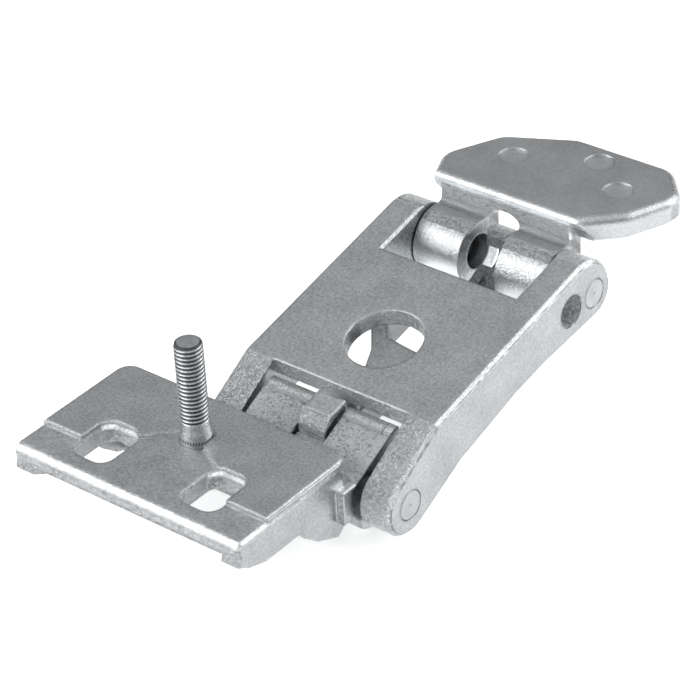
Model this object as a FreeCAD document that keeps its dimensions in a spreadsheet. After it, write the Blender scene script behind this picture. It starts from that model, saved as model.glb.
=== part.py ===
import FreeCAD, Part
import math
import os
import re
import Sketcher
from FreeCAD import Placement, Rotation, Vector

# Van rear door hinge: a cast door leaf with a stud, a link arm and a body bracket.
# Millimetres. The origin is the centre of the stud's base on the leaf's mounting face,
# +Z runs up the stud, +X runs along both pivots and +Y runs from the leaf to the bracket.

# Every driving size has one row here: its name and its value in millimetres or degrees.
SIZES = {
    # Door leaf, measured from the stud's centre
    "leaf_width": 79.5,
    "leaf_front": 30.1,
    "leaf_back": 16.3,
    "leaf_thickness": 7.0,
    "leaf_step_depth": 1.2,
    "leaf_step_setback": 17.9,
    "leaf_corner_radius": 5.0,
    "leaf_side_chamfer": 0.7,
    "leaf_nose_chamfer": 0.8,
    # Shallow recess that opens from the leaf's step towards the stud
    "recess_left_x": 13.2,
    "recess_left_y": 9.0,
    "recess_peak_x": 5.3,
    "recess_peak_y": 0.7,
    "recess_right_x": 14.5,
    "recess_right_y": 8.2,
    # Adjustment slots through the leaf
    "slot_width": 13.0,
    "slot_length": 16.5,
    "slot_corner_radius": 4.0,
    "slot_spacing": 38.0,
    "slot_setback": 15.45,
    # End ribs under the leaf, and the wall with a foot behind them
    "rib_thickness": 6.5,
    "rib_root_setback": 2.1,
    "rib_nose_setback": 0.14,
    "rib_nose_depth": 8.8,
    "rib_chin_setback": 4.2,
    "rib_chin_depth": 11.1,
    "rib_depth": 13.1,
    "rib_straight_setback": 10.5,
    "foot_start": 5.3,
    "foot_toe_rise": 2.8,
    "foot_toe_run": 1.9,
    "foot_slope_depth": 20.2,
    "foot_slope_reach": 1.9,
    "foot_depth": 23.6,
    "foot_reach": 9.9,
    "foot_heel_rise": 2.5,
    "wall_back": 12.8,
    "wall_thickness": 6.8,
    "rib_side_round": 1.0,
    # Lower pivot and the two knuckles of the leaf
    "lower_pin_reach": 23.3,
    "lower_pin_drop": 15.0,
    "link_offset": 20.5,
    "knuckle_side_gap": 1.85,
    "knuckle_eye_radius": 11.0,
    "knuckle_tip_reach": 11.0,
    "knuckle_tip_flat": 2.2,
    "knuckle_tip_round": 0.8,
    "ramp_foot_back": 8.3,
    "ramp_foot_height": 7.0,
    "tongue_side_gap": 0.8,
    "tongue_sweep_gap": 1.3,
    "tongue_heel_clear": 4.0,
    # Stud
    "stud_radius": 4.0,
    "stud_length": 30.3,
    "stud_chamfer": 1.2,
    "stud_neck_radius": 4.6,
    "stud_neck_rise": 0.6,
    "stud_neck_taper": 3.9,
    "stud_head_radius": 5.8,
    "stud_head_height": 3.0,
    # Link arm, measured from the lower pin along the arm
    "rest_angle": 12.0,
    "link_width": 66.5,
    "link_top": 15.2,
    "link_plate_thickness": 5.2,
    "link_plate_start": 16.5,
    "link_plate_end": 66.8,
    "link_reach": 88.85,
    "upper_pin_rise": 2.5,
    "lower_eye_radius": 9.3,
    "upper_eye_radius": 8.2,
    "ear_thickness": 9.8,
    "flange_thickness": 6.25,
    "flange_start": 21.0,
    "flange_end": 63.5,
    "belly_front_reach": 22.6,
    "belly_front_drop": 4.1,
    "belly_middle_reach": 49.7,
    "belly_middle_drop": 2.5,
    "belly_rear_reach": 63.1,
    "belly_rear_drop": 3.0,
    "link_right_chamfer": 1.2,
    "link_left_chamfer": 0.5,
    "ear_inner_chamfer": 0.7,
    "centre_hole_radius": 11.25,
    "centre_hole_reach": 37.0,
    "side_hole_radius": 5.0,
    "side_hole_reach": 77.8,
    "side_hole_rise": 4.95,
    # Centre tongue of the link arm, with its lug
    "tongue_thickness": 9.3,
    "tongue_eye_radius": 9.0,
    "lug_front": 1.9,
    "lug_shoulder_reach": 2.6,
    "lug_shoulder_rise": 12.1,
    "lug_top_start": 6.0,
    "lug_top": 14.8,
    "lug_back": 13.0,
    "web_low_top": 7.0,
    # Webs under the link plate: root, slanted strut and cross leg
    "web_bottom_drop": 2.0,
    "web_root_half": 4.4,
    "web_waist_x": 2.5,
    "web_waist_reach": 30.0,
    "strut_start_x": 5.0,
    "strut_start_reach": 36.0,
    "strut_outer_x": 15.2,
    "strut_inner_x": 10.0,
    "strut_bend_reach": 49.5,
    "strut_inside_x": 3.5,
    "leg_front_reach": 29.0,
    "leg_back_reach": 41.0,
    "leg_root_reach": 26.0,
    "leg_back_taper": 2.0,
    "strut_inside_step": 1.0,
    # Stop lug that reaches from the link plate into the gap between the bracket's barrels
    "stop_thickness": 7.4,
    "stop_shift": 0.6,
    "stop_heel_setback": 2.3,
    "stop_heel_height": 4.0,
    "stop_belly_run": 5.2,
    "stop_belly_drop": 3.5,
    "stop_radius": 9.5,
    "stop_face_reach": 1.2,
    "stop_notch_setback": 1.4,
    "stop_notch_height": 3.8,
    "stop_floor_setback": 11.05,
    "stop_floor_height": 1.5,
    "stop_root_run": 0.7,
    "stop_root_height": 9.0,
    # Pins
    "pin_radius": 4.5,
    "pin_press_gap": 0.02,
    "pivot_running_gap": 0.05,
    "pin_chamfer": 0.3,
    "pin_tip_recess": 2.6,
    # Body bracket, measured from the upper pin
    "barrel_radius": 10.2,
    "barrel_side_gap": 1.1,
    "bracket_shift": 0.8,
    "barrel_gap": 12.8,
    "gap_arch_height": 13.2,
    "gap_corner_radius": 5.8,
    "bracket_top": 18.5,
    "bracket_thickness": 8.0,
    "bracket_front": 4.4,
    "wall_back_run": 0.2,
    "front_left_x": 25.4,
    "left_corner_x": 30.2,
    "left_corner_y": 15.5,
    "back_left_x": 21.5,
    "back_left_y": 33.4,
    "top_left_x": 1.0,
    "bracket_back": 43.8,
    "top_right_x": 32.0,
    "right_corner_x": 42.8,
    "right_corner_y": 31.5,
    "waist_right_x": 35.6,
    "waist_right_y": 14.8,
    "front_right_x": 25.0,
    "bracket_corner_radius": 8.0,
    "bracket_top_round": 2.6,
    "bracket_bottom_chamfer": 1.5,
    "bracket_crease_radius": 1.6,
    # Undercut that lets the plate's front corners swing over the link's ears
    "swing_angle": 70.0,
    "swing_gap": 0.35,
    # Three tapped holes under the bracket, each below a shallow dimple
    "tapped_hole_radius": 3.4,
    "tapped_hole_depth": 6.3,
    "dimple_radius": 4.5,
    "dimple_depth": 0.5,
    "hole_left_x": 11.1,
    "hole_left_y": 24.7,
    "hole_back_x": 11.9,
    "hole_back_y": 35.2,
    "hole_right_x": 25.4,
    "hole_right_y": 24.9,
    # Bushes in the bracket's barrels
    "bush_outer_radius": 5.4,
    "bush_seat_gap": 0.02,
    "bush_recess": 3.0,
}

doc = FreeCAD.newDocument("VanRearDoorHinge")
sheet = doc.addObject("Spreadsheet::Sheet", "Sizes")
for row, (alias, size) in enumerate(SIZES.items(), start=1):
    sheet.set("A%d" % row, alias)
    sheet.set("B%d" % row, str(size))
    sheet.setAlias("B%d" % row, alias)
doc.recompute()


def bound(formula):
    """The formula with each size's name pointing at its cell."""
    return re.sub(r"\b([a-z]+_[a-z_]+)\b", r"Sizes.\1", formula)


def number(formula):
    """The value of a formula, from the sheet's cells."""
    return float(sheet.evalExpression(bound(formula)))


def new_body(label):
    body = doc.addObject("PartDesign::Body", label)
    body.Label = label
    return body


def new_sketch(body, name, plane, offset="0", right="0", up="0"):
    """Sketch on one of the body's own planes. YZ sketches look along -X: right is +Y, up is +Z."""
    sketch = body.newObject("Sketcher::SketchObject", name)
    support = [part for part in body.Origin.OriginFeatures if part.Role == plane][0]
    sketch.AttachmentSupport = [(support, "")]
    sketch.MapMode = "FlatFace"
    for axis, formula in (("x", right), ("y", up), ("z", offset)):
        sketch.setExpression("AttachmentOffset.Base." + axis, bound(formula))
    return sketch


def corner(right, up):
    return right, up, "0", 1


def bend(right, up, radius, turn):
    """Arc about a centre, between lines tangent to it. A turn of 1 is anticlockwise, -1 clockwise."""
    return right, up, radius, turn


def pin_down(sketch, kind, place, formula):
    """Drives one distance from the sketch's origin, or one radius, from the sheet."""
    value = number(formula)
    if kind == "Radius":
        index = sketch.addConstraint(Sketcher.Constraint(kind, place[0], value))
    else:
        index = sketch.addConstraint(Sketcher.Constraint(kind, -1, 1, place[0], place[1], value))
    sketch.setExpression("Constraints[%d]" % index, bound(formula))


def pin_point(sketch, place, right, up):
    pin_down(sketch, "DistanceX", place, right)
    pin_down(sketch, "DistanceY", place, up)


def draw_outline(sketch, *nodes):
    """Closed outline through corners and bends. A corner that lies on a neighbouring bend ends it."""
    count = len(nodes)
    centres = [Vector(number(x), number(y), 0) for x, y, radius, turn in nodes]
    radii = [number(radius) * turn for x, y, radius, turn in nodes]
    is_corner = [radius == 0 for radius in radii]
    spans = []
    for here in range(count):
        there = (here + 1) % count
        way = centres[there] - centres[here]
        lean = max(-1.0, min(1.0, (radii[there] - radii[here]) / way.Length))
        heading = math.atan2(way.y, way.x) - math.asin(lean)
        left = Vector(-math.sin(heading), math.cos(heading), 0)
        spans.append((centres[here] - left * radii[here], centres[there] - left * radii[there]))
    has_line = [(end - start).Length > 1e-5 for start, end in spans]

    # A piece is a line or an arc: its geometry, its two ends and the corner at each end, if any
    pieces = []
    for here in range(count):
        before = here - 1
        if not is_corner[here]:
            entry = spans[before][1] - centres[here]
            leave = spans[here][0] - centres[here]
            angles = [math.atan2(entry.y, entry.x), math.atan2(leave.y, leave.x)]
            ends = [1, 2]
            if radii[here] < 0:
                angles.reverse()
                ends.reverse()
            circle = Part.Circle(centres[here], Vector(0, 0, 1), abs(radii[here]))
            arc = sketch.addGeometry(Part.ArcOfCircle(circle, angles[0], angles[1]))
            first = before % count if not has_line[before] else None
            last = (here + 1) % count if not has_line[here] else None
            pieces.append((arc, ends[0], ends[1], first, last))
            if first is None or last is None:
                pin_point(sketch, (arc, 3), nodes[here][0], nodes[here][1])
            if (first is None) == (last is None):
                pin_down(sketch, "Radius", (arc, 0), nodes[here][2])
        if has_line[here]:
            line = sketch.addGeometry(Part.LineSegment(*spans[here]))
            first = here if is_corner[here] else None
            last = (here + 1) % count if is_corner[(here + 1) % count] else None
            pieces.append((line, 1, 2, first, last))
    for index, piece in enumerate(pieces):
        after = pieces[(index + 1) % len(pieces)]
        meeting = (piece[0], piece[2], after[0], after[1])
        if piece[4] is None:
            sketch.addConstraint(Sketcher.Constraint("Tangent", *meeting))
        else:
            sketch.addConstraint(Sketcher.Constraint("Coincident", *meeting))
            pin_point(sketch, (piece[0], piece[2]), *nodes[piece[4]][:2])


def draw_circle(sketch, right, up, radius):
    centre = Vector(number(right), number(up), 0)
    circle = sketch.addGeometry(Part.Circle(centre, Vector(0, 0, 1), number(radius)))
    pin_down(sketch, "Radius", (circle, 0), radius)
    pin_point(sketch, (circle, 3), right, up)


def draw_rectangle(sketch, left, right, bottom, top):
    draw_outline(sketch, corner(left, bottom), corner(right, bottom), corner(right, top), corner(left, top))


def add(body, kind, name, sketch, length, both_ways=False, reverse=False):
    """A Pad or a Pocket of the sketch, with a check that it changed the body's volume the right way."""
    before = body.Shape.Volume if body.Tip else 0.0
    feature = body.newObject("PartDesign::" + kind, name)
    feature.Profile = sketch
    feature.setExpression("Length", bound(length))
    feature.Midplane = both_ways
    feature.Reversed = reverse
    doc.recompute()
    change = body.Shape.Volume - before
    if change * (1 if kind == "Pad" else -1) <= 1e-6:
        raise RuntimeError("%s of %s changed nothing" % (name, body.Label))
    return feature


def soften(body, name, radius, wanted, kind="Fillet", size="Radius"):
    """Fillet or Chamfer on the edges of the body for which wanted(edge) is true."""
    base = body.Tip
    names = ["Edge%d" % (index + 1) for index, edge in enumerate(base.Shape.Edges) if wanted(edge)]
    if not names:
        raise RuntimeError("no edges for %s of %s" % (name, body.Label))
    feature = body.newObject("PartDesign::" + kind, name)
    feature.Base = (base, names)
    feature.setExpression(size, bound(radius))
    doc.recompute()
    return feature


def near(value, formula):
    return abs(value - number(formula)) < 0.01


def in_plane(edge, axis, formula):
    """Whether the whole edge lies in the plane where the axis has the formula's value."""
    box = edge.BoundBox
    low, high = {"x": (box.XMin, box.XMax), "y": (box.YMin, box.YMax), "z": (box.ZMin, box.ZMax)}[axis]
    return near(low, formula) and near(high, formula)


# Door leaf: cast plate with end ribs, a rear wall, two slots and two knuckles for the link's tongue
leaf = new_body("door_leaf")

side = new_sketch(leaf, "LeafSide", "YZ_Plane")
nose = "(leaf_thickness - leaf_step_depth) / 2"
draw_outline(
    side,
    corner("leaf_back", "0"),
    corner("-leaf_step_setback", "0"),
    corner("-leaf_step_setback", "-leaf_step_depth"),
    bend("-leaf_front + " + nose, "-leaf_step_depth - " + nose, nose, 1),
    corner("leaf_back", "-leaf_thickness"),
)
add(leaf, "Pad", "LeafPlate", side, "leaf_width", both_ways=True)

soften(
    leaf, "LeafBackCorners", "leaf_corner_radius",
    lambda edge: in_plane(edge, "y", "leaf_back") and near(abs(edge.CenterOfMass.x), "leaf_width / 2"),
)

soften(
    leaf, "LeafTopChamfers", "leaf_side_chamfer",
    lambda edge: near(abs(edge.CenterOfMass.x), "leaf_width / 2") and in_plane(edge, "z", "0"),
    "Chamfer", "Size",
)

soften(
    leaf, "LeafNoseChamfers", "leaf_nose_chamfer",
    lambda edge: near(abs(edge.CenterOfMass.x), "leaf_width / 2")
    and in_plane(edge, "z", "-leaf_step_depth"),
    "Chamfer", "Size",
)

rib = new_sketch(leaf, "RibSide", "YZ_Plane")
draw_outline(
    rib,
    corner("-leaf_front + rib_root_setback", "-leaf_thickness / 2"),
    corner("-leaf_front + rib_nose_setback", "-rib_nose_depth"),
    corner("-leaf_front + rib_chin_setback", "-rib_chin_depth"),
    corner("-leaf_front + rib_straight_setback", "-rib_depth"),
    corner("-foot_start", "-rib_depth"),
    corner("-foot_start + foot_toe_run", "-rib_depth - foot_toe_rise"),
    corner("foot_slope_reach", "-foot_slope_depth"),
    corner("foot_reach", "-foot_depth"),
    corner("wall_back", "-foot_depth + foot_heel_rise"),
    corner("wall_back", "-leaf_thickness / 2"),
)
add(leaf, "Pad", "RibsAndWall", rib, "leaf_width", both_ways=True)

soften(
    leaf, "RibSideRounds", "rib_side_round",
    lambda edge: near(abs(edge.CenterOfMass.x), "leaf_width / 2")
    and edge.CenterOfMass.z < -number("rib_nose_depth") - 0.1
    and edge.CenterOfMass.y < number("wall_back") - 0.1,
)

hollow = new_sketch(leaf, "HollowSide", "YZ_Plane")
draw_rectangle(
    hollow, "-leaf_front - leaf_thickness", "wall_back - wall_thickness",
    "-2 * foot_depth", "-leaf_thickness",
)
add(leaf, "Pocket", "Hollow", hollow, "leaf_width - 2 * rib_thickness", both_ways=True)

slots = new_sketch(leaf, "SlotPlan", "XY_Plane", offset="leaf_thickness")
for side_sign in ("-", "+"):
    near_x = side_sign + "slot_spacing / 2"
    left_x = near_x + " - slot_width / 2 + slot_corner_radius"
    right_x = near_x + " + slot_width / 2 - slot_corner_radius"
    low_y = "-slot_setback - slot_length / 2 + slot_corner_radius"
    high_y = "-slot_setback + slot_length / 2 - slot_corner_radius"
    draw_outline(
        slots,
        bend(left_x, low_y, "slot_corner_radius", 1),
        bend(right_x, low_y, "slot_corner_radius", 1),
        bend(right_x, high_y, "slot_corner_radius", 1),
        bend(left_x, high_y, "slot_corner_radius", 1),
    )
add(leaf, "Pocket", "Slots", slots, "3 * leaf_thickness")

recess = new_sketch(leaf, "RecessPlan", "XY_Plane")
draw_outline(
    recess,
    corner("-recess_left_x", "-leaf_step_setback"),
    corner("recess_right_x", "-leaf_step_setback"),
    corner("recess_right_x", "-recess_right_y"),
    corner("0", "0"),
    corner("-recess_peak_x", "-recess_peak_y"),
    corner("-recess_left_x", "-recess_left_y"),
)
add(leaf, "Pocket", "Recess", recess, "leaf_step_depth")

fork_width = "(link_width - 2 * ear_thickness)"
pin_axis = {"offset": "link_offset", "right": "lower_pin_reach", "up": "-lower_pin_drop"}
knuckle = new_sketch(leaf, "KnuckleSide", "YZ_Plane", **pin_axis)
wall_inside = "-lower_pin_reach + wall_back - wall_thickness / 2"
draw_outline(
    knuckle,
    corner(wall_inside, "ramp_foot_height"),
    corner(wall_inside, "-sqrt(knuckle_eye_radius ^ 2 - (lower_pin_reach - wall_back) ^ 2)"),
    corner(
        "-lower_pin_reach + wall_back",
        "-sqrt(knuckle_eye_radius ^ 2 - (lower_pin_reach - wall_back) ^ 2)",
    ),
    bend("0", "0", "knuckle_eye_radius", 1),
    corner("knuckle_tip_reach", "lower_pin_drop"),
    corner("knuckle_tip_reach - knuckle_tip_flat", "lower_pin_drop"),
    corner("-ramp_foot_back", "ramp_foot_height"),
)
add(leaf, "Pad", "Knuckles", knuckle, fork_width + " - 2 * knuckle_side_gap", both_ways=True)

soften(
    leaf, "KnuckleTipRounds", "knuckle_tip_round",
    lambda edge: in_plane(edge, "z", "0") and in_plane(edge, "y", "lower_pin_reach + knuckle_tip_reach"),
)

sweep = new_sketch(leaf, "TongueSweep", "YZ_Plane", **pin_axis)
draw_circle(sweep, "0", "0", "tongue_eye_radius + tongue_sweep_gap")
add(leaf, "Pocket", "TongueGap", sweep, "tongue_thickness + 2 * tongue_side_gap", both_ways=True)

behind = new_sketch(leaf, "TongueOpening", "YZ_Plane", **pin_axis)
draw_rectangle(behind, "-ramp_foot_back", "2 * knuckle_tip_reach", "0", "2 * lower_pin_drop")
add(leaf, "Pocket", "TongueSlot", behind, "tongue_thickness + 2 * tongue_side_gap", both_ways=True)

heel = new_sketch(leaf, "TongueHeel", "YZ_Plane", **pin_axis)
draw_rectangle(heel, "-tongue_heel_clear", "2 * knuckle_tip_reach", "-2 * knuckle_eye_radius", "0")
add(leaf, "Pocket", "TongueHeelSlot", heel, "tongue_thickness + 2 * tongue_side_gap", both_ways=True)

bore = new_sketch(leaf, "LowerPinBore", "YZ_Plane", **pin_axis)
draw_circle(bore, "0", "0", "pin_radius + pivot_running_gap")
add(leaf, "Pocket", "PinBore", bore, "2 * link_width", both_ways=True)

stud_hole = new_sketch(leaf, "StudHolePlan", "XY_Plane", offset="leaf_thickness")
draw_circle(stud_hole, "0", "0", "stud_neck_radius + pin_press_gap")
add(leaf, "Pocket", "StudHole", stud_hole, "3 * leaf_thickness")

# Stud: knurled neck pressed into the leaf, with its head under the plate
stud = new_body("door_stud")
profile = new_sketch(stud, "StudProfile", "XZ_Plane")
draw_outline(
    profile,
    corner("0", "-leaf_thickness - stud_head_height"),
    corner("stud_head_radius", "-leaf_thickness - stud_head_height"),
    corner("stud_head_radius", "-leaf_thickness"),
    corner("stud_neck_radius", "-leaf_thickness"),
    corner("stud_neck_radius", "stud_neck_rise"),
    corner("stud_radius", "stud_neck_rise + stud_neck_taper"),
    corner("stud_radius", "stud_length - stud_chamfer"),
    corner("stud_radius - stud_chamfer", "stud_length"),
    corner("0", "stud_length"),
)
turned = stud.newObject("PartDesign::Revolution", "StudTurned")
turned.Profile = profile
turned.ReferenceAxis = (profile, ["V_Axis"])
turned.Angle = 360

# Link arm: a plate on two deep flanges with ears at both ends, a centre tongue and webs below
arm = new_body("link_arm")
flank = new_sketch(arm, "ArmSide", "YZ_Plane")
nose_radius = "(link_top - upper_pin_rise)"
draw_outline(
    flank,
    corner("link_plate_start", "link_top"),
    bend("0", "0", "lower_eye_radius", 1),
    corner("belly_front_reach", "-belly_front_drop"),
    corner("belly_middle_reach", "-belly_middle_drop"),
    corner("belly_rear_reach", "-belly_rear_drop"),
    bend("link_reach", "upper_pin_rise", "upper_eye_radius", 1),
    corner("link_reach + upper_eye_radius", "upper_pin_rise"),
    bend("link_reach + upper_eye_radius - " + nose_radius, "upper_pin_rise", nose_radius, 1),
    corner("link_reach + upper_eye_radius - " + nose_radius, "link_top"),
)
add(arm, "Pad", "ArmBlock", flank, "link_width", both_ways=True)

soften(
    arm, "RightChamfers", "link_right_chamfer",
    lambda edge: in_plane(edge, "x", "link_width / 2"), "Chamfer", "Size",
)
soften(
    arm, "LeftChamfers", "link_left_chamfer",
    lambda edge: in_plane(edge, "x", "-link_width / 2"), "Chamfer", "Size",
)

channel = new_sketch(arm, "ForksAndChannel", "YZ_Plane")
draw_outline(
    channel,
    corner("-2 * lower_eye_radius", "-link_top"),
    corner("link_reach + 2 * upper_eye_radius", "-link_top"),
    corner("link_reach + 2 * upper_eye_radius", "2 * link_top"),
    corner("link_plate_end", "2 * link_top"),
    corner("link_plate_end", "link_top - link_plate_thickness"),
    corner("link_plate_start", "link_top - link_plate_thickness"),
    corner("link_plate_start", "2 * link_top"),
    corner("-2 * lower_eye_radius", "2 * link_top"),
)
add(arm, "Pocket", "Forks", channel, fork_width, both_ways=True)

inner_edges = new_sketch(arm, "EarInnerEdges", "XZ_Plane", offset="-link_plate_end")
for side_sign in ("-", "+"):
    ear_inside = side_sign + fork_width + " / 2"
    draw_outline(
        inner_edges,
        corner(ear_inside, "link_top - ear_inner_chamfer"),
        corner(ear_inside + side_sign + "ear_inner_chamfer", "link_top"),
        corner(ear_inside, "link_top"),
    )
add(arm, "Pocket", "EarInnerChamfers", inner_edges, "link_reach - link_plate_end + link_top")

thinning = new_sketch(arm, "FlangeThinning", "YZ_Plane")
draw_rectangle(
    thinning, "flange_start", "flange_end", "-link_top", "link_top - link_plate_thickness",
)
add(arm, "Pocket", "Flanges", thinning, "link_width - 2 * flange_thickness", both_ways=True)

window = new_sketch(arm, "CentreHole", "XY_Plane", offset="link_top")
draw_circle(window, "0", "centre_hole_reach", "centre_hole_radius")
add(arm, "Pocket", "Window", window, "link_plate_thickness")

tongue = new_sketch(arm, "TongueSide", "YZ_Plane")
web_end = "link_plate_start + tongue_thickness / 2"
draw_outline(
    tongue,
    corner("lug_front", "sqrt(tongue_eye_radius ^ 2 - lug_front ^ 2)"),
    bend("0", "0", "tongue_eye_radius", 1),
    corner(web_end, "-web_bottom_drop"),
    corner(web_end, "web_low_top"),
    corner("lug_back", "web_low_top"),
    corner("lug_back", "lug_top"),
    corner("lug_top_start", "lug_top"),
    corner("lug_shoulder_reach", "lug_shoulder_rise"),
)
add(arm, "Pad", "Tongue", tongue, "tongue_thickness", both_ways=True)

web = new_sketch(arm, "WebPlan", "XY_Plane", offset="-web_bottom_drop")
flange_inside = "link_width / 2 - flange_thickness"
draw_outline(
    web,
    corner("-web_root_half", "link_plate_start"),
    corner("web_root_half", "link_plate_start"),
    corner("web_root_half", "leg_root_reach"),
    corner("web_root_half + leg_front_reach - leg_root_reach", "leg_front_reach"),
    corner(flange_inside, "leg_front_reach"),
    corner(flange_inside, "leg_back_reach - leg_back_taper"),
    corner("web_root_half", "leg_back_reach"),
    corner("-strut_inside_x", "leg_back_reach + strut_inside_step"),
    corner("-strut_inner_x", "strut_bend_reach"),
    corner("-strut_inner_x", "link_plate_end"),
    corner("-strut_outer_x", "link_plate_end"),
    corner("-strut_outer_x", "strut_bend_reach"),
    corner("-strut_start_x", "strut_start_reach"),
    corner("-web_waist_x", "web_waist_reach"),
)
add(arm, "Pad", "Webs", web, "link_top - link_plate_thickness + web_bottom_drop")

stop = new_sketch(arm, "StopSide", "YZ_Plane", offset="stop_shift")
stop_heel = "link_plate_end - stop_heel_setback"
draw_outline(
    stop,
    corner(stop_heel, "link_top - link_plate_thickness / 2"),
    corner(stop_heel, "stop_heel_height"),
    corner("link_plate_end + stop_belly_run", "-stop_belly_drop"),
    bend("link_reach", "upper_pin_rise", "stop_radius", 1),
    corner(
        "link_reach + stop_face_reach",
        "upper_pin_rise + sqrt(stop_radius ^ 2 - stop_face_reach ^ 2)",
    ),
    corner("link_reach - stop_notch_setback", "stop_notch_height"),
    corner("link_reach - stop_floor_setback", "stop_floor_height"),
    corner("link_plate_end + stop_root_run", "stop_root_height"),
)
add(arm, "Pad", "StopLug", stop, "stop_thickness", both_ways=True)

for name, reach, rise in (("Lower", "0", "0"), ("Upper", "link_reach", "upper_pin_rise")):
    eye = new_sketch(arm, name + "Eye", "YZ_Plane")
    draw_circle(eye, reach, rise, "pin_radius + pin_press_gap")
    add(arm, "Pocket", name + "EyeBore", eye, "2 * link_width", both_ways=True)

side_hole = new_sketch(arm, "SideHole", "YZ_Plane", offset="link_width")
draw_circle(side_hole, "side_hole_reach", "side_hole_rise", "side_hole_radius")
add(arm, "Pocket", "SideBore", side_hole, "link_width")

# Body bracket: a cast plate on a wall with two barrels
bracket = new_body("body_bracket")
pad = new_sketch(bracket, "PlatePlan", "XY_Plane", offset="bracket_top - bracket_thickness")
plate_corners = [
    ("-front_left_x", "bracket_front"),
    ("front_right_x", "bracket_front"),
    ("waist_right_x", "waist_right_y"),
    ("right_corner_x", "right_corner_y"),
    ("top_right_x", "bracket_back"),
    ("-top_left_x", "bracket_back"),
    ("-back_left_x", "back_left_y"),
    ("-left_corner_x", "left_corner_y"),
]
draw_outline(pad, *[corner(right, up) for right, up in plate_corners])
add(bracket, "Pad", "Plate", pad, "bracket_thickness")
soften(
    bracket, "PlateCorners", "bracket_corner_radius",
    lambda edge: edge.BoundBox.ZLength > 1 and edge.BoundBox.YMin > number("bracket_front") + 1,
)

soften(
    bracket, "TopRound", "bracket_top_round",
    lambda edge: in_plane(edge, "z", "bracket_top"),
)
soften(
    bracket, "BottomChamfer", "bracket_bottom_chamfer",
    lambda edge: in_plane(edge, "z", "bracket_top - bracket_thickness"), "Chamfer", "Size",
)

undercut = new_sketch(bracket, "UndercutSide", "YZ_Plane")
ear_lean = "(90 + rest_angle - swing_angle)"
ear_reach = "(" + nose_radius + " + swing_gap)"
draw_outline(
    undercut,
    corner("0", "0"),
    corner(ear_reach + " / cos" + ear_lean, "0"),
    corner("0", ear_reach + " / sin" + ear_lean),
)
add(bracket, "Pocket", "CornerUndercut", undercut, "2 * link_width", both_ways=True)

barrels = new_sketch(bracket, "BarrelSide", "YZ_Plane")
barrel_span = "(" + fork_width + " - 2 * barrel_side_gap)"
crease_centre = "(bracket_front - bracket_crease_radius)"
crease_reach = "(barrel_radius + bracket_crease_radius)"
crease_rise = "sqrt(" + crease_reach + " ^ 2 - " + crease_centre + " ^ 2)"
touching = " * barrel_radius / " + crease_reach
wall_rear = "(barrel_radius + wall_back_run)"
draw_outline(
    barrels,
    corner("bracket_front", "bracket_top - bracket_top_round"),
    corner("bracket_front", crease_rise),
    bend(crease_centre, crease_rise, "bracket_crease_radius", -1),
    corner(crease_centre + touching, crease_rise + touching),
    bend("0", "0", "barrel_radius", 1),
    corner(wall_rear, "bracket_top - bracket_thickness"),
    corner(wall_rear, "bracket_top - bracket_top_round"),
)
add(bracket, "Pad", "WallAndBarrels", barrels, barrel_span, both_ways=True)

gap = new_sketch(bracket, "GapFront", "XZ_Plane", offset="-" + wall_rear)
gap_bend_x = "(barrel_gap / 2 - gap_corner_radius)"
gap_bend_rise = "gap_arch_height - gap_corner_radius"
draw_outline(
    gap,
    corner("-barrel_gap / 2", "-2 * barrel_radius"),
    corner("barrel_gap / 2", "-2 * barrel_radius"),
    bend(gap_bend_x, gap_bend_rise, "gap_corner_radius", 1),
    bend("-" + gap_bend_x, gap_bend_rise, "gap_corner_radius", 1),
)
add(bracket, "Pocket", "BarrelGap", gap, "3 * barrel_radius", reverse=True)

seat = new_sketch(bracket, "BushSeat", "YZ_Plane")
draw_circle(seat, "0", "0", "bush_outer_radius + bush_seat_gap")
add(bracket, "Pocket", "BushBore", seat, "2 * link_width", both_ways=True)

hole_places = (
    ("Left", "-hole_left_x", "hole_left_y"),
    ("Back", "hole_back_x", "hole_back_y"),
    ("Right", "hole_right_x", "hole_right_y"),
)
for name, right, up in hole_places:
    tap = new_sketch(bracket, name + "TapPlan", "XY_Plane", offset="bracket_top - bracket_thickness")
    draw_circle(tap, right, up, "tapped_hole_radius")
    add(bracket, "Pocket", name + "Tap", tap, "tapped_hole_depth", reverse=True)
for name, right, up in hole_places:
    dimple = new_sketch(bracket, name + "DimplePlan", "XY_Plane", offset="bracket_top")
    draw_circle(dimple, right, up, "dimple_radius")
    add(bracket, "Pocket", name + "Dimple", dimple, "dimple_depth")

# Pins: one long pin through the tongue and knuckles, two short ones in the upper ears
def make_round_bar(label, start, length, reach, rise):
    bar = new_body(label)
    name = label.title().replace("_", "")
    section = new_sketch(bar, name + "Section", "YZ_Plane", start, reach, rise)
    draw_circle(section, "0", "0", "pin_radius")
    add(bar, "Pad", name + "Bar", section, length)
    soften(
        bar, name + "Ends", "pin_chamfer",
        lambda edge: edge.Curve.TypeId == "Part::GeomCircle", "Chamfer", "Size",
    )
    return bar


lower_pin = make_round_bar("lower_pin", "-link_width / 2", "link_width", "0", "0")
pin_tip = "(barrel_gap / 2 + bush_recess + pin_tip_recess)"
short = "link_width / 2 - " + pin_tip
left_pin = make_round_bar("upper_pin_left", "-link_width / 2", short, "link_reach", "upper_pin_rise")
right_pin = make_round_bar("upper_pin_right", pin_tip, short, "link_reach", "upper_pin_rise")


# Bushes: pressed into the barrels, recessed from the gap
def make_bush(label, start):
    bush = new_body(label)
    name = label.title().replace("_", "")
    ring = new_sketch(bush, name + "Ring", "YZ_Plane", start)
    draw_circle(ring, "0", "0", "bush_outer_radius")
    draw_circle(ring, "0", "0", "pin_radius + pivot_running_gap")
    add(bush, "Pad", name + "Wall", ring, barrel_span + " / 2 - barrel_gap / 2 - bush_recess")
    return bush


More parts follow.
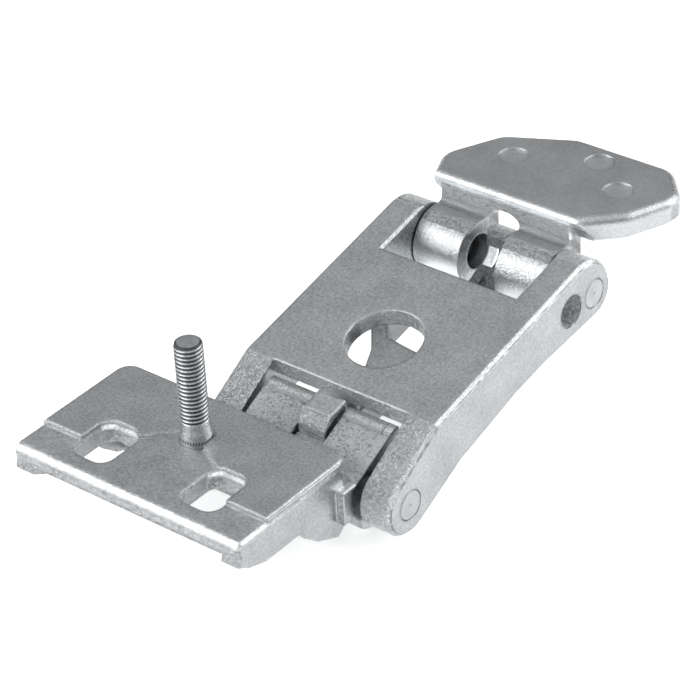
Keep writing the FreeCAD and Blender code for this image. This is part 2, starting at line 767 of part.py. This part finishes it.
left_bush = make_bush("bush_left", "-" + barrel_span + " / 2")
right_bush = make_bush("bush_right", "barrel_gap / 2 + bush_recess")

# Places: the leaf keeps the part's own frame, the arm leans up at its rest angle,
# and the bracket stands level about the arm's upper pin, pushed over to the left ear.
lower_axis = Vector(number("link_offset"), number("lower_pin_reach"), number("-lower_pin_drop"))
arm_place = Placement(lower_axis, Rotation(Vector(1, 0, 0), number("rest_angle")))
upper_axis = arm_place.multVec(Vector(0, number("link_reach"), number("upper_pin_rise")))
bracket_place = Placement(upper_axis - Vector(number("bracket_shift"), 0, 0), Rotation())
for body in (arm, lower_pin, left_pin, right_pin):
    body.Placement = arm_place
for body in (bracket, left_bush, right_bush):
    body.Placement = bracket_place
doc.recompute()

# Checks before anything is written
for item in doc.Objects:
    if "Invalid" in item.State or "Error" in item.State:
        raise RuntimeError("%s failed" % item.Name)
pieces = [leaf, stud, arm, lower_pin, left_pin, right_pin, bracket, left_bush, right_bush]
os.makedirs("parts", exist_ok=True)
for piece in pieces:
    if piece.Shape.isNull() or not piece.Shape.isValid() or len(piece.Shape.Solids) != 1:
        raise RuntimeError("%s is not one sound solid" % piece.Label)
for piece in pieces:
    piece.Shape.exportStep("parts/%s.step" % piece.Label)
    print("%s: %.1f cubic mm" % (piece.Label, piece.Shape.Volume))
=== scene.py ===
import math

import bpy
from mathutils import Matrix, Vector


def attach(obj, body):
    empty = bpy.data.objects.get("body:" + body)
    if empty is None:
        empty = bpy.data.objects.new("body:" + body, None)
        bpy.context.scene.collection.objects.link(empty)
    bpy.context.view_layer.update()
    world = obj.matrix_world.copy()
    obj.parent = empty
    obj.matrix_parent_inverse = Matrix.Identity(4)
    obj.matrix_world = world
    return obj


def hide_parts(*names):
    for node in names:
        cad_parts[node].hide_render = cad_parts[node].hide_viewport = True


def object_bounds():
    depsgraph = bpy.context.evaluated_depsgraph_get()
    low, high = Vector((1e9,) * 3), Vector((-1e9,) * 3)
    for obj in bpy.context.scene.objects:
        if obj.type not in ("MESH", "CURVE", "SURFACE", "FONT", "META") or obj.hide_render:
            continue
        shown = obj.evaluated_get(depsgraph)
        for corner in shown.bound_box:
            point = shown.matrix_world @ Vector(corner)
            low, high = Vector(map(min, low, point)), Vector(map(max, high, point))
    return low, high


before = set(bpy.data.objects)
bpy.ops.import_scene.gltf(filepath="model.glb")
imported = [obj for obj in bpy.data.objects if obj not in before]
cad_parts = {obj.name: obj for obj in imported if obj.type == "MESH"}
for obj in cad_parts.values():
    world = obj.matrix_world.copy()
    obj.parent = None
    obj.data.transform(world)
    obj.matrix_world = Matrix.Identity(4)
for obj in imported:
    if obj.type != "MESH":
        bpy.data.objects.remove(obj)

# Van rear door hinge of zinc-plated castings. Metres, in the frame of the solids:
# the origin is the stud's base on the leaf's mounting face, +Z runs up the stud,
# +X along both pivots and +Y from the door leaf to the body bracket.

MM = 0.001
cad_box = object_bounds()

# Sizes that the pieces and their looks take from the solids, in millimetres
LOWER_PIVOT = Vector((20.5, 23.3, -15.0))
PIN_RADIUS = 4.5
LEAF_HALF_WIDTH = 39.75
LEAF_BACK = 16.3
LEAF_THICKNESS = 7.0
LEAF_STEP = 1.2
KNUCKLE_CROWN = 29.3
STUD_RADIUS = 4.0
STUD_LENGTH = 30.3
STUD_CHAMFER = 1.2
STUD_HEAD_RADIUS = 5.8
STUD_HEAD_HEIGHT = 3.0
NECK_RADIUS = 4.6
NECK_RISE = 0.6
NECK_TAPER = 3.9
# The arm's own sizes lie along and square to its lean, from the lower pivot
ARM_LEAN = math.radians(12.0)
UPPER_PIVOT_ON_ARM = (88.85, 2.5)
ARM_HALF_WIDTH = 33.25
FORK_HALF_WIDTH = 23.45
ARM_PLATE_UNDERSIDE = 10.0
TONGUE_BACK = 13.0
TONGUE_TOP_START = 6.0
TONGUE_SHOULDER_RISE = 12.1
# The bracket's own sizes start from the upper pivot
BRACKET_SHIFT = 0.8
BRACKET_TOP = 18.5
BARREL_RADIUS = 10.2
DIMPLE_RADIUS = 4.5
TAPPED_HOLES = ((-11.1, 24.7), (11.9, 35.2), (25.4, 24.9))

# Thread and knurl, which the plain solid of the stud leaves out
THREAD_PITCH = 1.25
THREAD_DEPTH = 0.62
THREAD_CREST_SHARE = 0.12
THREAD_FLANK_SHARE = 0.74
THREAD_RELIEF = 0.4
THREAD_RUN_IN = 0.8 * THREAD_PITCH
KNURL_TEETH = 36
KNURL_DEPTH = 0.16
KNURL_FOOT = -0.4

upper_pivot = LOWER_PIVOT + Vector((
    0.0,
    UPPER_PIVOT_ON_ARM[0] * math.cos(ARM_LEAN) - UPPER_PIVOT_ON_ARM[1] * math.sin(ARM_LEAN),
    UPPER_PIVOT_ON_ARM[0] * math.sin(ARM_LEAN) + UPPER_PIVOT_ON_ARM[1] * math.cos(ARM_LEAN),
))


# Shader maths: one class wraps a socket so that formulas can be written as formulas
class Field:
    def __init__(self, shader, socket):
        self.shader = shader
        self.socket = socket

    def apply(self, operation, *others):
        return self.shader.node("ShaderNodeMath", {"operation": operation}, self, *others)

    def __add__(self, other):
        return self.apply("ADD", other)

    def __radd__(self, other):
        return self.apply("ADD", other)

    def __sub__(self, other):
        return self.apply("SUBTRACT", other)

    def __rsub__(self, other):
        return self.shader.node("ShaderNodeMath", {"operation": "SUBTRACT"}, other, self)

    def __mul__(self, other):
        return self.apply("MULTIPLY", other)

    def __rmul__(self, other):
        return self.apply("MULTIPLY", other)

    def smallest(self, other):
        return self.apply("MINIMUM", other)

    def size(self):
        return self.apply("ABSOLUTE")

    def reach(self, other):
        """Distance from an axis, from the two offsets square to it."""
        return (self * self + other * other).apply("POWER", 0.5)

    def rise(self, low, high):
        """0 below low, 1 above high, and a smooth step between."""
        settings = {"interpolation_type": "SMOOTHSTEP"}
        return self.shader.node("ShaderNodeMapRange", settings, self, low, high, 0.0, 1.0)

    def fall(self, low, high):
        """1 below low, 0 above high, and a smooth step between."""
        return 1.0 - self.rise(low, high)

    def band(self, start, full, leave, end):
        """0 up to start, 1 from full to leave, and 0 from end on."""
        return self.rise(start, full) * self.fall(leave, end)


class Shader:
    """One material's nodes, ending in a Principled surface."""

    def __init__(self, name):
        self.material = bpy.data.materials.new(name)
        self.material.use_nodes = True
        self.tree = self.material.node_tree
        self.surface = self.tree.nodes["Principled BSDF"]

    def feed(self, socket, value):
        """Link a field to an input, set a plain value, or leave the input alone for None."""
        if isinstance(value, Field):
            self.tree.links.new(value.socket, socket)
        elif value is not None:
            socket.default_value = value

    def node(self, kind, settings, *inputs, named=None, output=0):
        made = self.tree.nodes.new(kind)
        for key, value in settings.items():
            setattr(made, key, value)
        for key, value in list(enumerate(inputs)) + list((named or {}).items()):
            self.feed(made.inputs[key], value)
        return Field(self, made.outputs[output])

    def place(self):
        """Position on the object at rest, in millimetres."""
        position = self.node("ShaderNodeTexCoord", {}, output="Object")
        settings = {"operation": "SCALE"}
        return self.node("ShaderNodeVectorMath", settings, position, named={"Scale": 1 / MM})

    def axes(self, place):
        split = self.node("ShaderNodeSeparateXYZ", {}, place)
        outputs = split.socket.node.outputs
        return [Field(self, outputs[axis]) for axis in ("X", "Y", "Z")]

    def facing(self, direction):
        """Cosine of the angle between the surface and a direction that turns with the object."""
        normal = self.node("ShaderNodeTexCoord", {}, output="Normal")
        way = self.node("ShaderNodeVectorMath", {"operation": "NORMALIZE"}, normal)
        toward = tuple(Vector(direction).normalized())
        settings = {"operation": "DOT_PRODUCT"}
        return self.node("ShaderNodeVectorMath", settings, way, toward, output="Value")

    def noise(self, place, scale, detail=2.0, roughness=0.5, distortion=0.0):
        """Noise about 0.5, with as many features to the millimetre as scale says."""
        settings = {"noise_dimensions": "3D", "noise_type": "FBM"}
        named = {
            "Scale": scale,
            "Detail": detail,
            "Roughness": roughness,
            "Distortion": distortion,
        }
        return self.node("ShaderNodeTexNoise", settings, place, named=named)

    def cells(self, place, scale):
        """Distance to the nearest of many scattered points."""
        settings = {"voronoi_dimensions": "3D", "feature": "F1"}
        return self.node("ShaderNodeTexVoronoi", settings, place, named={"Scale": scale})

    def grey(self, value):
        """Zinc's faintly cool grey."""
        channels = [value * tint for tint in (0.965, 0.995, 1.015)]
        return self.node("ShaderNodeCombineColor", {}, *channels)

    def edge_normal(self, radius):
        """Normal that rounds the solid's edges, by a radius in millimetres."""
        return self.node("ShaderNodeBevel", {"samples": 6}, radius * MM)

    def bump(self, height, depth, normal=None):
        """Normal of a relief whose height field is scaled to depth, in millimetres."""
        named = {"Strength": 1.0, "Distance": depth * MM, "Height": height, "Normal": normal}
        return self.node("ShaderNodeBump", {}, named=named)

    def finish(self, colour, metallic, roughness, normal=None):
        names = ("Base Color", "Metallic", "Roughness", "Normal")
        for name, value in zip(names, (colour, metallic, roughness, normal)):
            self.feed(self.surface.inputs[name], value)
        return self.material


# Zinc-plated casting: pressed flat tops with a fine grain, plain flanks and rough cast skin
SKIN_SHADE = 0.66
TOP_SHADE = 0.625
TURNED_SHADE = 0.66
# Painted highlight on the upper right edges
EDGE_HIGHLIGHT_SHADE = 0.95
PLAIN_SKIN_ROUGHNESS = 0.28
CASTING_RELIEF = 0.55


def plated_casting(name, top_direction, zones, flank_shade, edge_radius, edge_highlight, grain):
    """Zinc plating over a casting.

    zones gives, for a place, the shares of rough cast skin and of smooth turned skin, and how
    much darker it is painted, which is below 0 where it is painted lighter: painted shade and
    painted light, with some of the metal's own tone. edge_radius is in millimetres. edge_highlight
    is how bright the painted highlight on the upper right edges is, and grain is how strongly the
    fine speckle shows on smooth faces.
    """
    shader = Shader(name)
    place = shader.place()
    top = shader.facing(top_direction).rise(0.985, 0.998)
    flank = shader.facing((1.0, 0.0, 0.0)).size().rise(0.95, 0.995)
    rough, smooth, painted_shade_and_tone = zones(shader, place)
    # Painted highlight: edges that face up and to the right are brighter and smoother
    edge = edge_highlight * shader.facing((1.0, 0.0, 1.0)).rise(0.93, 0.98)
    curved = (1.0 - top) * (1.0 - flank)
    skin = curved * (1.0 - smooth) * (1.0 - edge)
    cast = skin * (PLAIN_SKIN_ROUGHNESS + (1.0 - PLAIN_SKIN_ROUGHNESS) * rough)

    fine = shader.noise(place, 1.25, detail=5.0, roughness=0.8) - 0.5
    grit = shader.noise(place, 1.15, detail=5.0, roughness=0.72, distortion=0.5) - 0.5
    drag = shader.noise(place, 0.30, detail=4.0, roughness=0.62, distortion=1.6) - 0.5
    blotch = shader.noise(place, 0.09, detail=3.0, roughness=0.55) - 0.5
    pits = shader.cells(place, 0.16).fall(0.02, 0.10)
    specks = shader.cells(place, 1.1).fall(0.08, 0.30)

    relief = (
        grit * cast * 3.0
        + drag * cast * 0.7
        + fine * top * 0.22 * grain
        + grit * flank * 0.12
        - pits * top * 0.2
        + fine * smooth * 0.30
        + grit * edge * 0.6
    )
    normal = shader.bump(relief, CASTING_RELIEF, shader.edge_normal(edge_radius))

    # flank_shade is the tone of faces that look sideways, set lower partly as painted shade
    # against the floor's bright reflection in them
    shade = (
        SKIN_SHADE * skin
        + TOP_SHADE * top
        + flank_shade * flank
        + TURNED_SHADE * smooth * curved
        + EDGE_HIGHLIGHT_SHADE * edge * curved
    )
    speckle = 2.2 * grain * top + 1.2 * flank + 2.2 * grain * smooth * (1.0 - top)
    shade = shade * (1.0 + 0.45 * blotch + fine * speckle + 3.2 * grit * (cast + 0.4 * edge))
    shade = shade * (1.0 - 0.12 * pits) * (1.0 - 0.30 * specks * (0.1 + cast * rough))
    # Painted shade and painted light from the zones, with some of the metal's own tone
    shade = shade * (1.0 - painted_shade_and_tone)

    roughness = 0.27 + 0.15 * top - 0.02 * cast + 0.15 * drag - 0.02 * smooth + 0.2 * painted_shade_and_tone
    metallic = 1.0 - 0.50 * cast * rough
    return shader.finish(shader.grey(shade.smallest(1.0)), metallic, roughness, normal)


def leaf_zones(shader, place):
    """Rough low on the nose and on the knuckles' ramps, with a painted highlight along the nose's
    upper rim.

    Painted shade darkens the recess before the stud, a painted dark line runs along the right
    edge, and painted light brightens the right side near the knuckles. The knuckles' crowns are
    darker.
    """
    across, along, above = shader.axes(place)
    low = above.fall(-3.8, -2.6)
    recess = above.band(-LEAF_STEP - 0.4, -LEAF_STEP - 0.15, -LEAF_STEP + 0.2, -LEAF_STEP + 0.8)
    rim = above.band(-3.2, -2.2, -LEAF_STEP + 0.05, -LEAF_STEP + 0.15) * along.fall(14.0, 15.0)
    crown = along.rise(KNUCKLE_CROWN, KNUCKLE_CROWN + 0.6)
    ramp = along.rise(LEAF_BACK, LEAF_BACK + 0.7) * (1.0 - 0.8 * crown)
    outward = across - LEAF_HALF_WIDTH
    painted_edge_line = outward.band(-0.55, -0.35, -0.13, -0.05) * above.rise(-LEAF_STEP, -LEAF_STEP + 0.2)
    side = outward.rise(-0.25, -0.05) * along.rise(-12.0, 14.0)
    rough = (low + 1.4 * ramp + 0.2 * recess).smallest(1.4)
    smooth = 0.75 * rim + 0.6 * crown
    # Painted shade in the recess, a painted dark line at the edge, a painted highlight on the rim
    # and painted light on the side
    darker = 0.24 * recess + 0.14 * crown + 0.45 * painted_edge_line
    lighter = 0.25 * rim + 0.42 * ramp + 0.20 * side
    return rough, smooth, darker - lighter


def arm_zones(shader, place):
    """Rough below the plate, with painted shade down inside the channel and a broken painted dark
    line along both edges.

    The tongue in the lower fork is a little smoother and lighter, with a painted highlight on its
    shoulder.
    """
    across, along, above = shader.axes(place)
    ahead = along - LOWER_PIVOT[1]
    over = above - LOWER_PIVOT[2]
    forward = ahead * math.cos(ARM_LEAN) + over * math.sin(ARM_LEAN)
    raised = over * math.cos(ARM_LEAN) - ahead * math.sin(ARM_LEAN)
    aside = (across - LOWER_PIVOT[0]).size()
    middle = aside.fall(FORK_HALF_WIDTH - 0.65, FORK_HALF_WIDTH - 0.05)
    broken = shader.noise(place, 0.4).rise(0.3, 0.55)
    painted_edge_line = (aside - ARM_HALF_WIDTH).band(-0.55, -0.30, -0.11, -0.03) * broken
    inside = raised.fall(ARM_PLATE_UNDERSIDE - 0.6, ARM_PLATE_UNDERSIDE + 0.4) * middle
    tongue = middle * forward.fall(TONGUE_BACK + 0.2, TONGUE_BACK + 0.8)
    shoulder = tongue * forward.fall(TONGUE_TOP_START - 1.0, TONGUE_TOP_START + 0.2)
    shoulder = shoulder * raised.rise(TONGUE_SHOULDER_RISE - 0.7, TONGUE_SHOULDER_RISE + 0.1)
    # Painted shade inside the channel, a painted dark line on the edges and a painted highlight on
    # the shoulder
    darker = 0.36 * inside * (1.0 - tongue) + 0.5 * painted_edge_line
    lighter = 0.10 * tongue + 0.22 * shoulder
    return 0.5 + 0.5 * inside, 0.15 * tongue, darker - lighter


def bracket_zones(shader, place):
    """A wall with rough cast skin over turned barrels that keep one rough band along their top.

    turn is the angle round the barrels in degrees, from their front upwards.
    """
    across, along, above = shader.axes(place)
    ahead = upper_pivot[1] - along
    over = above - upper_pivot[2]
    turn = over.apply("ARCTAN2", ahead) * math.degrees(1.0)
    reach = ahead.reach(over)
    barrel = reach.fall(BARREL_RADIUS + 0.1, BARREL_RADIUS + 0.4)
    low = turn.fall(16.0, 34.0)
    band = turn.band(54.0, 60.0, 78.0, 84.0)
    flare = turn.rise(50.0, 56.0) * (reach - BARREL_RADIUS).band(0.1, 0.3, 1.7, 2.4)
    smooth = barrel * (1.0 - band)
    behind = ahead.fall(-6.5, -5.2)
    from_top = over - BRACKET_TOP
    rolled = from_top.band(-2.9, -2.1, -0.5, -0.1) * (1.0 - behind)
    wall = (1.0 - smooth) * (1.0 - flare) * from_top.fall(-3.5, -2.3) * (1.0 - behind)
    # Shallow dimples over the three tapped holes, as lighter discs on the top
    dimples = 0.0
    for hole_x, hole_y in TAPPED_HOLES:
        beside = across - (upper_pivot[0] - BRACKET_SHIFT + hole_x)
        beyond = ahead + hole_y
        dimples = beside.reach(beyond).fall(DIMPLE_RADIUS - 1.3, DIMPLE_RADIUS - 0.3) + dimples
    # Painted shade in the crease between barrels and wall and on the plate's edges below its top;
    # the barrels a little darker
    darker = 0.32 * flare + 0.14 * behind * from_top.fall(-0.7, -0.2) + 0.07 * barrel
    # Painted reflection on the barrels' lower front, painted light on the wall, a painted
    # highlight on the rolled edge; the barrels' rough band and the dimples lighter
    lighter = (
        0.48 * barrel * low
        + 0.62 * wall * (1.0 - barrel)
        + 0.30 * rolled
        + 0.18 * dimples * from_top.rise(-2.5, -2.0)
        + 0.15 * barrel * band
    )
    return 1.25 * wall, 0.6 * smooth + 0.6 * rolled + 0.8 * behind, darker - lighter


def bright_steel(name, shade, roughness, axis=None):
    """Bright steel. A turned end, about an axis along X, has faint rings, a punched dot, and
    painted shade on its rim and in the dot.
    """
    shader = Shader(name)
    place = shader.place()
    fine = shader.noise(place, 2.2, detail=4.0, roughness=0.7) - 0.5
    smudge = shader.noise(place, 0.3, detail=3.0, roughness=0.5) - 0.5
    relief = fine
    value = shade * (1.0 + 0.5 * smudge + 0.4 * fine)
    if axis is not None:
        _, along, above = shader.axes(place)
        reach = (along - axis[1]).reach(above - axis[2])
        rings = (reach * 9.0).apply("SINE")
        dot = reach.fall(0.1, 0.5)
        rim = reach.rise(PIN_RADIUS - 0.55, PIN_RADIUS - 0.15)
        relief = relief + 0.5 * rings - 6.0 * dot
        # Painted shade on the rim, where the pin meets its bore, and in the dot
        value = value * (1.0 - 0.45 * dot) * (1.0 - 0.45 * rim) * (1.0 + 0.06 * rings)
    normal = shader.bump(relief, 0.05, shader.edge_normal(0.25))
    return shader.finish(shader.grey(value), 1.0, roughness + 0.15 * smudge, normal)


def threaded_steel(name):
    """Bright rolled steel, with painted shade down in its thread and in the foot's knurl."""
    shader = Shader(name)
    place = shader.place()
    fine = shader.noise(place, 2.2, detail=4.0, roughness=0.7) - 0.5
    smear = shader.noise(place, 0.5, detail=4.0, roughness=0.6, distortion=1.0) - 0.5
    across, along, above = shader.axes(place)
    reach = across.reach(along)
    crest = reach.rise(STUD_RADIUS - 0.45, STUD_RADIUS - 0.08)
    tip = above.rise(STUD_LENGTH - 0.1, STUD_LENGTH - 0.02)
    head = above.fall(-LEAF_THICKNESS - 0.2, -LEAF_THICKNESS)
    knurl = above.band(KNURL_FOOT - 0.2, KNURL_FOOT, NECK_RISE - 0.1, NECK_RISE + 0.1)
    tooth = reach.rise(NECK_RADIUS - 0.14, NECK_RADIUS - 0.03)
    # Painted shade: darker down in the thread and between the knurl's teeth
    light = 0.18 + 0.82 * (crest + tip + head).smallest(1.0)
    light = light * (1.0 - 0.85 * knurl * (1.0 - tooth))
    value = 0.54 * light * (1.0 + 0.9 * smear + 0.5 * fine)
    roughness = 0.26 + 0.20 * (1.0 - crest) + 0.15 * smear
    normal = shader.bump(fine + smear, 0.08)
    return shader.finish(shader.grey(value), 1.0, roughness, normal)


UP = (0.0, 0.0, 1.0)
ARM_UP = (0.0, -math.sin(ARM_LEAN), math.cos(ARM_LEAN))
finishes = {
    "door_leaf": plated_casting("leaf_plating", UP, leaf_zones, flank_shade=0.41,
                                edge_radius=1.5, edge_highlight=0.85, grain=1.0),
    "link_arm": plated_casting("arm_plating", ARM_UP, arm_zones, flank_shade=0.45,
                               edge_radius=1.4, edge_highlight=0.9, grain=0.9),
    "body_bracket": plated_casting("bracket_plating", UP, bracket_zones, flank_shade=0.45,
                                   edge_radius=0.5, edge_highlight=0.0, grain=0.4),
    "lower_pin": bright_steel("lower_pin_steel", 0.47, 0.34, LOWER_PIVOT),
    "upper_pin_left": bright_steel("left_pin_steel", 0.50, 0.34, upper_pivot),
    "upper_pin_right": bright_steel("right_pin_steel", 0.50, 0.34, upper_pivot),
    "bush_left": bright_steel("left_bush_steel", 0.22, 0.5),
    "bush_right": bright_steel("right_bush_steel", 0.22, 0.5),
}
for node, finish in finishes.items():
    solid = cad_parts[node]
    solid.data.materials.clear()
    solid.data.materials.append(finish)


def add_object(name, data):
    made = bpy.data.objects.new(name, data)
    bpy.context.scene.collection.objects.link(made)
    return made


# Stud: rolled thread, flared neck with a knurled rim, and the head under the leaf
STUD_SIDES = 72
STUD_ANGLES = [2 * math.pi * step / STUD_SIDES for step in range(STUD_SIDES)]


def stud_outline(height, angle):
    """Radius of the stud at a height above the leaf's face, round the given angle."""
    thread_start = NECK_RISE + NECK_TAPER + THREAD_RELIEF
    if height < NECK_RISE:
        tooth = max(0.0, math.cos(KNURL_TEETH * angle)) if height > KNURL_FOOT else 0.0
        return NECK_RADIUS - KNURL_DEPTH * tooth
    if height < NECK_RISE + NECK_TAPER:
        share = (height - NECK_RISE) / NECK_TAPER
        return NECK_RADIUS + (STUD_RADIUS - NECK_RADIUS) * (3 - 2 * share) * share * share
    tip = max(0.0, (height - STUD_LENGTH + STUD_CHAMFER) / STUD_CHAMFER)
    outer = STUD_RADIUS - STUD_CHAMFER * (1.0 - math.sqrt(max(0.0, 1.0 - tip ** 2)))
    if height < thread_start:
        return outer
    turn = (height / THREAD_PITCH - angle / (2 * math.pi)) % 1.0
    flank = abs(2 * turn - 1)
    groove = THREAD_DEPTH * min(1.0, max(0.0, (flank - THREAD_CREST_SHARE) / THREAD_FLANK_SHARE))
    run_in = min(1.0, (height - thread_start) / THREAD_RUN_IN)
    return min(outer, STUD_RADIUS - groove * run_in)


def add_rings(points, faces, rings):
    """Add rings of points, each given by its radii and height, with quads between them.

    The rings run upwards, so that the quads face out. The list tells where each ring starts.
    """
    starts = []
    for radii, height in rings:
        starts.append(len(points))
        for radius, angle in zip(radii, STUD_ANGLES):
            point = (radius * math.cos(angle), radius * math.sin(angle), height)
            points.append(tuple(value * MM for value in point))
    for low, high in zip(starts, starts[1:]):
        for step in range(STUD_SIDES):
            beside = (step + 1) % STUD_SIDES
            faces.append((low + step, low + beside, high + beside, high + step))
    return starts


def make_stud():
    shank_step, shank_rings = 0.35, 18
    knurl_step, knurl_rings = 0.1, 11
    neck_rings, thread_rings = 10, 330
    thread_low = NECK_RISE + NECK_TAPER
    # Rings inside the leaf, then round the knurl, up the neck and up the thread
    heights = [-LEAF_THICKNESS + shank_step * step for step in range(shank_rings)]
    heights += [KNURL_FOOT + knurl_step * step for step in range(knurl_rings)]
    heights += [NECK_RISE + NECK_TAPER * step / neck_rings for step in range(1, neck_rings + 1)]
    heights += [thread_low + (STUD_LENGTH - thread_low) * step / thread_rings
                for step in range(1, thread_rings + 1)]
    points = []
    faces = []
    shank = add_rings(points, faces, [
        ([stud_outline(height, angle) for angle in STUD_ANGLES], height) for height in heights])
    faces.append(tuple(range(shank[-1], shank[-1] + STUD_SIDES)))
    # The head hangs under the leaf, as a plain disc with a rounded rim, from its underside up
    top = -LEAF_THICKNESS
    rim = [(STUD_HEAD_RADIUS - 0.5, top - STUD_HEAD_HEIGHT),
           (STUD_HEAD_RADIUS, top - STUD_HEAD_HEIGHT + 0.5),
           (STUD_HEAD_RADIUS, top - 0.3),
           (STUD_HEAD_RADIUS - 0.3, top),
           (NECK_RADIUS, top)]
    head = add_rings(points, faces, [([radius] * STUD_SIDES, height) for radius, height in rim])
    faces.append(tuple(range(head[0] + STUD_SIDES - 1, head[0] - 1, -1)))
    mesh = bpy.data.meshes.new("stud_threaded")
    mesh.from_pydata(points, [], faces)
    mesh.validate()
    for polygon in mesh.polygons:
        polygon.use_smooth = len(polygon.vertices) == 4
    mesh.materials.append(threaded_steel("stud_plating"))
    return add_object("stud_threaded", mesh)


stud = make_stud()
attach(stud, "leaf")
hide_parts("door_stud")


# Floor, light and camera
def make_floor():
    """A white floor, just under the hinge and 6 m square, that glows a little."""
    level = cad_box[0][2] - 0.02 * MM
    half = 3.0
    corners = [(x * half, y * half, level) for x, y in ((-1, -1), (1, -1), (1, 1), (-1, 1))]
    mesh = bpy.data.meshes.new("floor")
    mesh.from_pydata(corners, [], [(0, 1, 2, 3)])
    floor = add_object("floor", mesh)
    shader = Shader("floor_white")
    shader.surface.inputs["Emission Color"].default_value = (1.0, 1.0, 1.0, 1.0)
    shader.surface.inputs["Emission Strength"].default_value = 0.60
    mesh.materials.append(shader.finish((0.92, 0.92, 0.92, 1.0), 0.0, 0.9))


def make_world():
    """A pale studio that is brighter overhead than at the horizon."""
    world = bpy.data.worlds.new("studio")
    world.use_nodes = True
    tree = world.node_tree
    back = tree.nodes["Background"]
    direction = tree.nodes.new("ShaderNodeTexCoord")
    height = tree.nodes.new("ShaderNodeSeparateXYZ")
    glow = tree.nodes.new("ShaderNodeMapRange")
    glow.interpolation_type = "SMOOTHSTEP"
    for key, value in (("From Min", 0.02), ("From Max", 0.5), ("To Min", 0.06), ("To Max", 0.43)):
        glow.inputs[key].default_value = value
    tree.links.new(direction.outputs["Generated"], height.inputs[0])
    tree.links.new(height.outputs["Z"], glow.inputs["Value"])
    # Seen directly, the studio is as pale as the floor
    ray = tree.nodes.new("ShaderNodeLightPath")
    seen = tree.nodes.new("ShaderNodeMath")
    seen.operation = "MAXIMUM"
    tree.links.new(ray.outputs["Is Camera Ray"], seen.inputs[0])
    tree.links.new(glow.outputs[0], seen.inputs[1])
    tree.links.new(seen.outputs[0], back.inputs["Strength"])
    back.inputs["Color"].default_value = (1.0, 1.0, 1.0, 1.0)
    bpy.context.scene.world = world
    bpy.context.scene.view_settings.view_transform = "Standard"


def make_lamp(name, toward, distance, width, height, power):
    """A soft box, in metres and watts, that shines at the hinge from a direction."""
    middle = Vector((15.0, 45.0, 0.0)) * MM
    lamp = bpy.data.lights.new(name, "AREA")
    lamp.shape = "RECTANGLE"
    lamp.size = width
    lamp.size_y = height
    lamp.energy = power
    direction = Vector(toward).normalized()
    holder = add_object(name, lamp)
    holder.location = middle + direction * distance
    holder.rotation_euler = direction.to_track_quat("Z", "Y").to_euler()


def make_camera():
    """Camera solved from the photograph's edges, about the lower pivot, in mm and pixels."""
    turn, rise, roll = math.radians(40.23), math.radians(33.664), math.radians(-3.41)
    distance, shift_right, shift_up = 799.1, -9.888, -30.947
    focal_pixels, picture_pixels, film = 2934.72, 700, 36.0
    back = Vector((
        math.sin(turn) * math.cos(rise),
        -math.cos(turn) * math.cos(rise),
        math.sin(rise),
    ))
    level = Vector((math.cos(turn), math.sin(turn), 0.0))
    upward = back.cross(level)
    right = level * math.cos(roll) + upward * math.sin(roll)
    top = upward * math.cos(roll) - level * math.sin(roll)
    spot = LOWER_PIVOT + back * distance - right * shift_right - top * shift_up
    data = bpy.data.cameras.new("camera")
    data.lens = focal_pixels / picture_pixels * film
    data.sensor_width = film
    data.clip_start = 0.05
    data.clip_end = 20.0
    camera = add_object("camera", data)
    columns = Matrix((right, top, back)).transposed()
    camera.matrix_world = Matrix.Translation(spot * MM) @ columns.to_4x4()
    bpy.context.scene.camera = camera


make_floor()
make_world()
make_lamp("front_left_box", (-0.50, -0.67, 0.56), distance=1.0, width=0.85, height=0.46, power=5.6)
make_lamp("back_right_box", (0.62, 0.62, 0.50), distance=1.0, width=0.8, height=0.6, power=5.0)
make_lamp("overhead_box", (0.1, -0.3, 1.0), distance=1.1, width=0.7, height=0.7, power=1.0)
make_camera()
